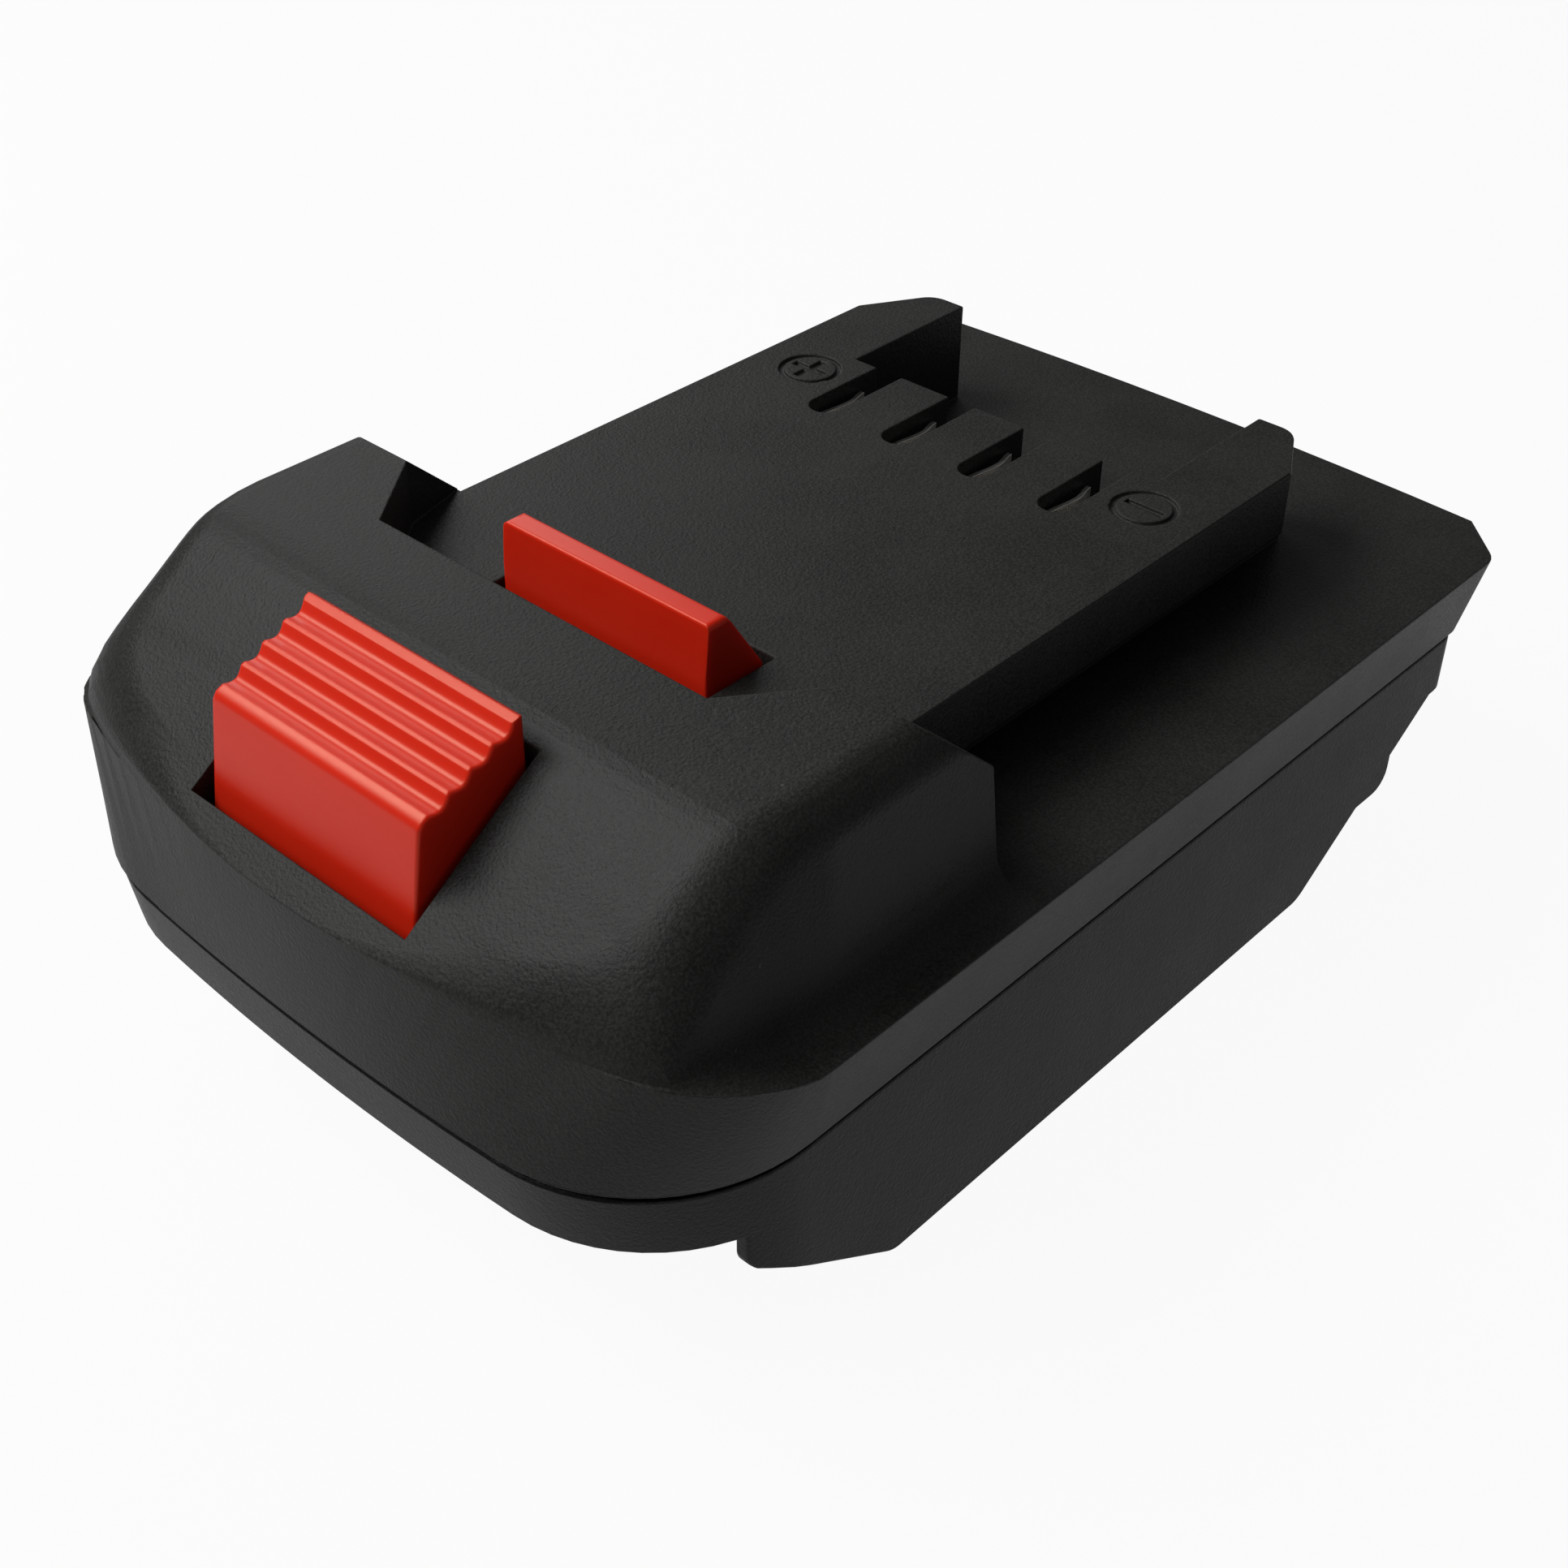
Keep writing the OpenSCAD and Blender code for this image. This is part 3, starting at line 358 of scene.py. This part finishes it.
def shade_smooth(shape):
    """Shades a shape smoothly between its sharp creases."""
    for edge in shape.edges:
        edge.smooth = edge.is_manifold and edge.calc_face_angle() < CREASE
    for face in shape.faces:
        face.smooth = True


def on_seam(edge):
    return any(all(abs(v.co.z - z) < JOIN for v in edge.verts) for z in (SEAM_Z, RIM_Z))


def soften(shape, width, steps):
    """Makes flat faces whole, rounds long outer edges, more so at the seam, and marks the creases."""
    bmesh.ops.dissolve_limit(shape, angle_limit=FLAT, verts=shape.verts, edges=shape.edges,
                             use_dissolve_boundaries=False, delimit=set())
    for offset, shortest, at_seam in ((SEAM_WIDTH, SEAM_SHORTEST, True), (width, width, False)):
        cramped = {v for e in shape.edges if e.calc_length() < shortest for v in e.verts}
        outer = [e for e in shape.edges
                 if e.is_manifold and e.is_convex and e.calc_face_angle() > ROUND
                 and not cramped.intersection(e.verts) and on_seam(e) == at_seam]
        bmesh.ops.bevel(shape, geom=outer, offset=offset, offset_type="OFFSET", segments=steps, profile=0.5,
                        affect="EDGES", clamp_overlap=False, material=-1)
    shade_smooth(shape)


def even_shading(piece):
    """Lets the large faces lead the shading, so that flat faces stay flat."""
    weigh = piece.modifiers.new("even_shading", "WEIGHTED_NORMAL")
    weigh.keep_sharp = True
    weigh.weight = 80


def nearest_reach(face, point):
    """The distance from a point to the middle or the nearest edge of a face."""
    tries = [face.calc_center_median()]
    for edge in face.edges:
        start, end = (v.co for v in edge.verts)
        share = intersect_point_line(point, start, end)[1]
        tries.append(start.lerp(end, min(max(share, 0), 1)))
    return min((t - point).length for t in tries)


def flowing_normal(face, point):
    """The mean normal of the faces that run on smoothly round a point."""
    seen, waiting, mean = {face}, [face], Vector()
    for part in waiting:
        far = nearest_reach(part, point)
        if part.calc_area() > FLAT_AREA and far < JOIN:
            return part.normal.copy()
        mean += part.normal * min(part.calc_area(), SHADE_REACH ** 2) * (1 - (far / SHADE_REACH) ** 2)
        for edge in part.edges:
            for other in edge.link_faces:
                if edge.smooth and other not in seen and other.normal.dot(face.normal) > SHADE_AGREE:
                    seen.add(other)
                    if nearest_reach(other, point) < SHADE_REACH:
                        waiting.append(other)
    return mean.normalized()


def flowing_shading(piece):
    """Shades curved faces by what lies around each corner, so that their narrow strips don't show."""
    shape = bmesh.new()
    shape.from_mesh(piece.data)
    shape.normal_update()
    normals = [flowing_normal(face, corner.vert.co) for face in shape.faces for corner in face.loops]
    piece.data.normals_split_custom_set(normals)
    shape.free()


def section_ring(shape, sides, radius, place):
    """Adds a ring to an empty shape, ready to be spun."""
    bmesh.ops.create_circle(shape, segments=sides, radius=radius, cap_ends=False, matrix=place)
    return list(shape.verts) + list(shape.edges)


def turned(shape, section, centre, steps):
    """Turns a section once round an upright axis."""
    bmesh.ops.spin(shape, geom=section, cent=centre, axis=UP, angle=FULL_TURN, steps=steps, use_merge=True)
    bmesh.ops.remove_doubles(shape, verts=shape.verts, dist=JOIN)
    bmesh.ops.recalc_face_normals(shape, faces=shape.faces)
    return shape


def wound(sides, radius, place, centre, rise, turns, steps):
    """Winds a ring up round an upright axis, and closes the ends."""
    shape = bmesh.new()
    bmesh.ops.spin(shape, geom=section_ring(shape, sides, radius, place), cent=centre, axis=UP,
                   dvec=(0, 0, rise / steps), angle=FULL_TURN * turns, steps=steps)
    bmesh.ops.holes_fill(shape, edges=[e for e in shape.edges if e.is_boundary], sides=0)
    bmesh.ops.recalc_face_normals(shape, faces=shape.faces)
    return shape


# The polarity signs, a cross and a bar in rings, engraved in the platform
PLATFORM_Z = 39 * MM
SIGN_X = 19.1 * MM
SIGN_Y = 21.2 * MM
SIGN_DEPTH = 0.35 * MM
SIGN_RING_R = 2.7 * MM
SIGN_RING_HALF = 0.25 * MM
SIGN_BAR_HALF = 0.36 * MM
SIGN_BAR_REACH = 1.9 * MM


def sign_ring(x):
    """A ring-shaped cutter for the groove round a polarity sign."""
    place = Matrix.Translation((x + SIGN_RING_R, SIGN_Y, PLATFORM_Z)) @ STAND_UP
    square = Matrix.Diagonal((SIGN_RING_HALF, SIGN_DEPTH, 1, 1)) @ Matrix.Rotation(math.pi / 4, 4, "Z")
    ring = bmesh.new()
    section = section_ring(ring, 4, math.sqrt(2), place @ square)
    return turned(ring, section, (x, SIGN_Y, PLATFORM_Z), steps=72)


def bar_cutter(place, half, reach, depth, crossed):
    """A cutter for a groove along X, or with crossed for a cross, depth to either side of its place."""
    bar = bmesh.new()
    size = Matrix.Diagonal((half, half, depth, 1))
    bmesh.ops.create_cube(bar, size=2, matrix=Matrix.Translation(place) @ size)
    for side in [f for f in bar.faces if abs(f.normal.x) > 0.5 or crossed and abs(f.normal.y) > 0.5]:
        outward = side.normal * (reach - half)
        grown = bmesh.ops.extrude_discrete_faces(bar, faces=[side])["faces"][0]
        bmesh.ops.translate(bar, verts=grown.verts, vec=outward)
    bmesh.ops.recalc_face_normals(bar, faces=bar.faces)
    return bar


upper = joined_copy("upper_housing")
for x, crossed in ((-SIGN_X, True), (SIGN_X, False)):
    upper = combined(upper, sign_ring(x), "DIFFERENCE")
    sign = bar_cutter((x, SIGN_Y, PLATFORM_Z), SIGN_BAR_HALF, SIGN_BAR_REACH, SIGN_DEPTH, crossed)
    upper = combined(upper, sign, "DIFFERENCE")
soften(upper, width=0.2 * MM, steps=2)
flowing_shading(finished_piece("upper_shell", upper, "housing", "housing", "upper_housing"))

lower = joined_copy("lower_housing")
soften(lower, width=0.2 * MM, steps=2)
even_shading(finished_piece("lower_shell", lower, "housing", "housing", "lower_housing"))

latch = joined_copy("release_latch")
soften(latch, width=0.3 * MM, steps=3)
even_shading(finished_piece("latch_moulding", latch, "latch", "latch", "release_latch"))

# A pan head's outline, as shares of its radius and height
HEAD_OUTLINE = ((0, 1), (0.38, 0.98), (0.62, 0.9), (0.8, 0.72), (0.93, 0.48), (1, 0.2), (1, 0))
# The core and the thread's half height, as shares of the shank's radius and the pitch
CORE_SHARE = 0.74
RIDGE_SHARE = 0.36
# The cross recess, as shares of the head's radius and height
RECESS_HALF = 0.12
RECESS_REACH = 0.55
RECESS_DEPTH = 0.62


def screw_head_and_core(head_r, head_h, core_r, tip_z):
    """A pan head below its seat at the origin, and a pointed core above it."""
    outline = [(r * head_r, -h * head_h) for r, h in HEAD_OUTLINE]
    outline += [(core_r, 0), (core_r, tip_z - core_r), (0.4 * core_r, tip_z - 0.1 * core_r), (0, tip_z)]
    solid = bmesh.new()
    line = [solid.verts.new((r, 0, z)) for r, z in outline]
    edges = [solid.edges.new(pair) for pair in zip(line, line[1:])]
    return turned(solid, line + edges, (0, 0, 0), steps=48)


def screw_thread(core_r, outer_r, pitch, start_z, end_z):
    """A pointed ridge that winds up a core."""
    place = Matrix.Translation((core_r, 0, start_z)) @ STAND_UP
    pointed = Matrix.Diagonal((outer_r - core_r, RIDGE_SHARE * pitch, 1, 1))
    turns = (end_z - start_z) / pitch
    return wound(4, 1, place @ pointed, (0, 0, 0), end_z - start_z, turns, steps=round(turns * 24))


def screw_places(low, high, head_r):
    """The corners of a box of screws, in by a head's radius, without those that fall together."""
    across, along = (low.x + head_r, high.x - head_r), (low.y + head_r, high.y - head_r)
    corners = sorted({(x, y) for x in across for y in along})
    return [c for i, c in enumerate(corners) if all(math.dist(c, other) > head_r for other in corners[:i])]


def screw_set(name, node_name, head_r, head_h, shank_r, pitch):
    """Cross-head screws in the places of a CAD node's screws."""
    low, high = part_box(node_name)
    tip_z = high.z - low.z - head_h
    core_r = CORE_SHARE * shank_r
    screw = screw_head_and_core(head_r, head_h, core_r, tip_z)
    thread = screw_thread(core_r, shank_r, pitch, 0.8 * pitch, tip_z - core_r - 0.4 * pitch)
    screw = combined(screw, thread, "UNION")
    recess = bar_cutter((0, 0, -head_h), RECESS_HALF * head_r, RECESS_REACH * head_r,
                        RECESS_DEPTH * head_h, True)
    bottom = [v for v in recess.verts if v.co.z > -head_h]
    bmesh.ops.scale(recess, vec=(0.5, 0.5, 1), verts=bottom)
    screw = combined(screw, recess, "DIFFERENCE")
    bmesh.ops.remove_doubles(screw, verts=screw.verts, dist=SLIVER)
    bmesh.ops.dissolve_degenerate(screw, edges=screw.edges, dist=SLIVER)
    shade_smooth(screw)
    corners = list(screw.verts)
    whole = corners + list(screw.edges) + list(screw.faces)
    first, *others = screw_places(low, high, head_r)
    for x, y in others:
        copy = bmesh.ops.duplicate(screw, geom=whole)["geom"]
        copied = [v for v in copy if isinstance(v, bmesh.types.BMVert)]
        bmesh.ops.translate(screw, vec=(x, y, low.z + head_h), verts=copied)
    bmesh.ops.translate(screw, vec=(*first, low.z + head_h), verts=corners)
    finished_piece(name, screw, "housing", SLOT_OF[node_name], node_name)


screw_set("housing_screw_set", "housing_screws",
          head_r=2.8 * MM, head_h=2.1 * MM, shank_r=1.45 * MM, pitch=1.2 * MM)
screw_set("block_screw_set", "block_screws",
          head_r=1.9 * MM, head_h=1.2 * MM, shank_r=1.0 * MM, pitch=0.8 * MM)
screw_set("board_screw_set", "board_screws",
          head_r=1.9 * MM, head_h=1.2 * MM, shank_r=1.0 * MM, pitch=0.8 * MM)

# The springs shorten with the latch, so each is a coil of its own in the CAD spring's place
SPRING_TURNS = 6
SPRING_STEPS = SPRING_TURNS * 28
WIRE_R = 0.4 * MM
for side in ("left", "right"):
    low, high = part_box("latch_spring_" + side)
    axis_at = (low + high) / 2
    coil_r = (high.x - low.x) / 2 - WIRE_R
    start = Matrix.Translation((axis_at.x + coil_r, axis_at.y, low.z + WIRE_R)) @ STAND_UP
    rise = high.z - low.z - 2 * WIRE_R
    coil = wound(12, WIRE_R, start, axis_at, rise, SPRING_TURNS, SPRING_STEPS)
    spring = finished_piece("coil_" + side, coil, "housing", "steel", "latch_spring_" + side)
    spring.data.shade_smooth()
    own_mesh(spring)

# Camera at the photograph's view
CAMERA_PLACE = (0.1064, -0.1199, 0.1317)
CAMERA_RIGHT = (0.7356, 0.6773, 0.0085)
CAMERA_UP = (-0.4116, 0.4370, 0.7997)
CAMERA_BACK = (0.5379, -0.5918, 0.6003)
camera = bpy.data.cameras.new("camera")
camera.lens = 50.37
camera.sensor_width = 36
camera.clip_start = 0.005
camera.clip_end = 20
view = placed("camera", camera)
turn = Matrix((CAMERA_RIGHT, CAMERA_UP, CAMERA_BACK)).transposed()
view.matrix_world = Matrix.Translation(CAMERA_PLACE) @ turn.to_4x4()
scene.camera = view


def soft_lamp(name, place, aim, width, watts):
    lamp = bpy.data.lights.new(name, "AREA")
    lamp.shape = "DISK"
    lamp.size = width
    lamp.energy = watts
    toward = Vector(aim) - Vector(place)
    facing = toward.to_track_quat("-Z", "Y").to_matrix().to_4x4()
    placed(name, lamp).matrix_world = Matrix.Translation(place) @ facing


soft_lamp("key_lamp", (-0.36, -0.22, 0.5), (0, -0.01, 0.03), width=0.32, watts=2.5)
soft_lamp("side_lamp", (-0.49, 0.23, 0.37), (0, -0.02, 0.03), width=0.35, watts=0.7)
soft_lamp("front_lamp", (-0.15, -0.4, 0.47), (0, -0.03, 0.03), width=0.3, watts=1.3)

# The floor looks white and still takes the object's shadow. It shines less far out, and can't be seen from
# below
FLOOR_HALF = 4
FAR_FROM = 0.11
FAR_TO = 0.24
floor_shape = bmesh.new()
bmesh.ops.create_grid(floor_shape, x_segments=1, y_segments=1, size=FLOOR_HALF)
floor = mesh_object("floor", floor_shape)
p = new_paint("floor_white")
mirrored = p.ray_is("Glossy")
from_middle = p.node("ShaderNodeVectorMath", {"operation": "LENGTH"}, {0: p.place()}, "Value")
far = from_middle.over(FAR_FROM, FAR_TO)
whiten = p.in_view() * 0.94 + mirrored * (0.55 + 0.35 * far)
matte = p.node("ShaderNodeBsdfDiffuse", {}, {"Color": colour(0.55, 0.55, 0.55)})
glow = p.node("ShaderNodeEmission", {}, {"Color": colour(1, 1, 1), "Strength": 1 - mirrored * far * 0.85})
lit = p.node("ShaderNodeMixShader", {}, {0: whiten, 1: matte, 2: glow})
below = p.node("ShaderNodeNewGeometry", output="Backfacing")
clear = p.node("ShaderNodeBsdfTransparent")
one_sided = p.node("ShaderNodeMixShader", {}, {0: below, 1: lit, 2: clear})
p.node("ShaderNodeOutputMaterial", {}, {"Surface": one_sided})
dress(floor, p.owner)

# The world gives a low even light, and looks white to the camera
world = bpy.data.worlds.new("studio")
scene.world = world
p = Paint(world)
level = 0.12 + p.in_view() * 0.86 + p.ray_is("Glossy") * 0.05
sky = p.node("ShaderNodeBackground", {}, {"Color": colour(1, 1, 1), "Strength": level})
p.node("ShaderNodeOutputWorld", {}, {"Surface": sky})

scene.view_settings.view_transform = "Standard"
